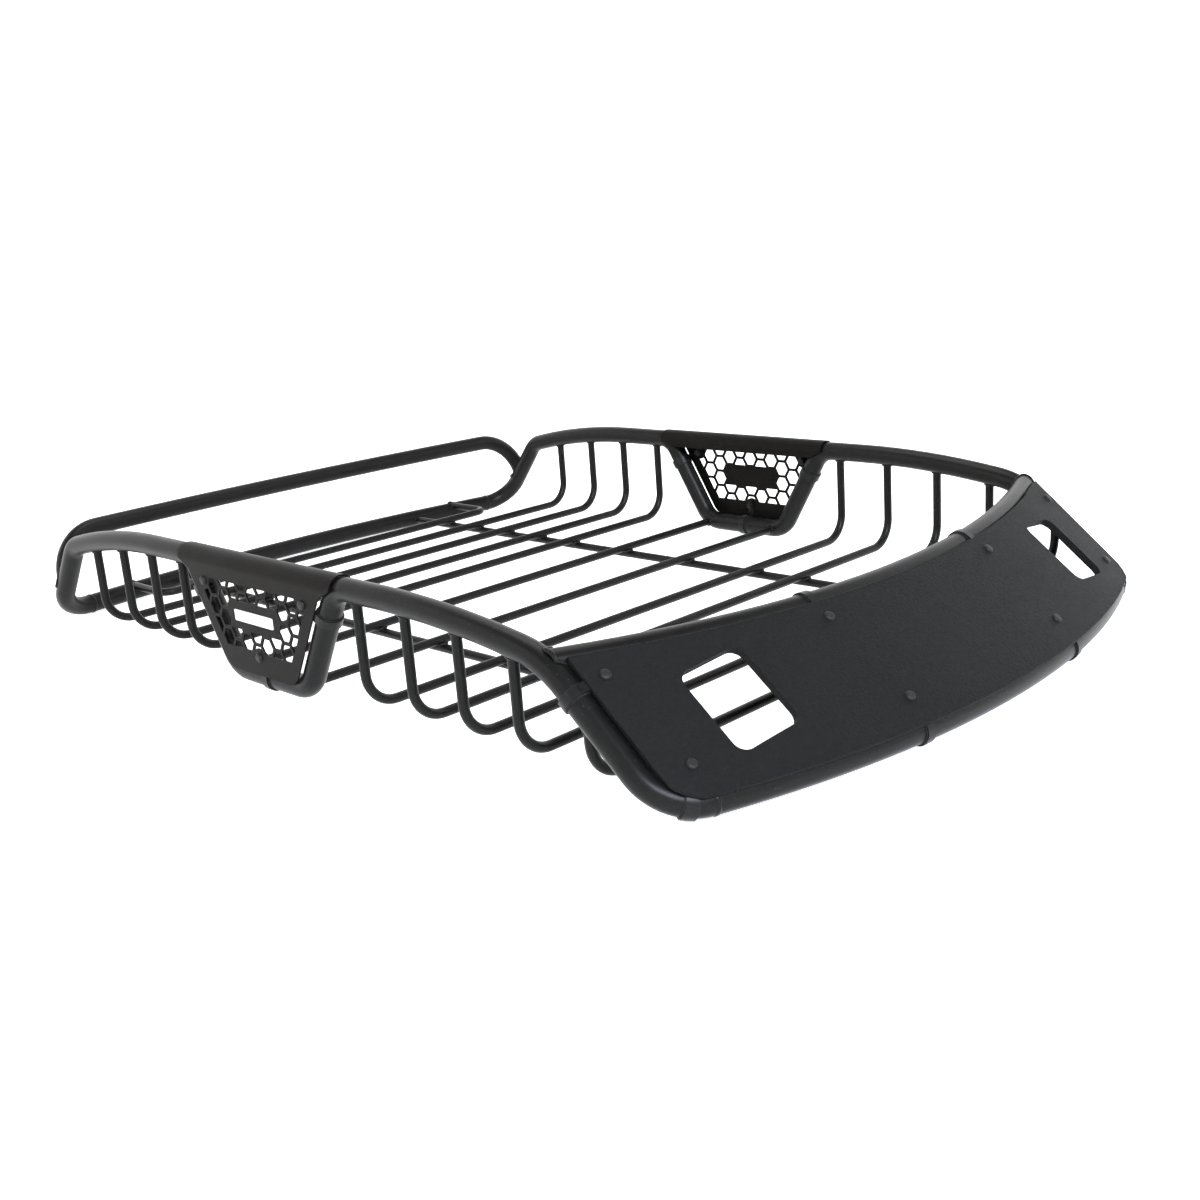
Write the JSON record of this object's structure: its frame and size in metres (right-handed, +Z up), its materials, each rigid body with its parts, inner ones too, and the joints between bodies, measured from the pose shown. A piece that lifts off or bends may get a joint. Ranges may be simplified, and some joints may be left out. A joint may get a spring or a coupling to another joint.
{
  "type": "roof cargo basket",
  "caption": "Open tubular roof cargo basket with floor ribs, hexagon-punched side panels, a low rear hoop and a sloping front wind fairing with lamp windows.",
  "frame": {"origin": "midway along and across the basket, on the plane that the lowest clamps touch", "axes": "+X left, -Y front (towards the fairing), +Z up"},
  "size_m": [1.0274, 1.496, 0.1897],
  "materials": {
    "frame": "satin fine-textured black powder coat",
    "fairing_sheet": "coarse textured satin black powder coat on sheet",
    "panel_sheet": "fine-textured black powder coat on punched sheet",
    "clamp_band": "black coated steel band",
    "clamp_liner": "matt black rubber",
    "fastener": "black zinc, semi-gloss",
    "badge": "blank off-white plate"
  },
  "bodies": {
    "root": {"badge_plate_left": "badge", "badge_plate_right": "badge", "fairing": "fairing_sheet", "fairing_lower_bolts": "fastener", "fairing_lower_clamp_liners": "clamp_liner", "fairing_lower_clamps": "clamp_band", "fairing_lower_nuts": "fastener", "fairing_upper_bolts": "fastener", "fairing_upper_clamp_liners": "clamp_liner", "fairing_upper_clamps": "clamp_band", "fairing_upper_nuts": "fastener", "floor_bar_left": "frame", "floor_bar_right": "frame", "floor_rod_front": "frame", "floor_rod_rear": "frame", "front_cross_tube": "frame", "front_lower_tube": "frame", "panel_left_bolts": "fastener", "panel_left_clamp_liners": "clamp_liner", "panel_left_clamps": "clamp_band", "panel_left_nuts": "fastener", "panel_right_bolts": "fastener", "panel_right_clamp_liners": "clamp_liner", "panel_right_clamps": "clamp_band", "panel_right_nuts": "fastener", "rail_front_left": "frame", "rail_front_right": "frame", "rail_rear_left": "frame", "rail_rear_right": "frame", "rear_end_rod": "frame", "rear_hoop_tube": "frame", "rear_lower_tube": "frame", "rib_front_1": "frame", "rib_front_2": "frame", "rib_front_3": "frame", "rib_front_4": "frame", "rib_front_5": "frame", "rib_rear_1": "frame", "rib_rear_2": "frame", "rib_rear_3": "frame", "rib_rear_4": "frame", "side_panel_left": "panel_sheet", "side_panel_right": "panel_sheet"}
  },
  "joints": []
}
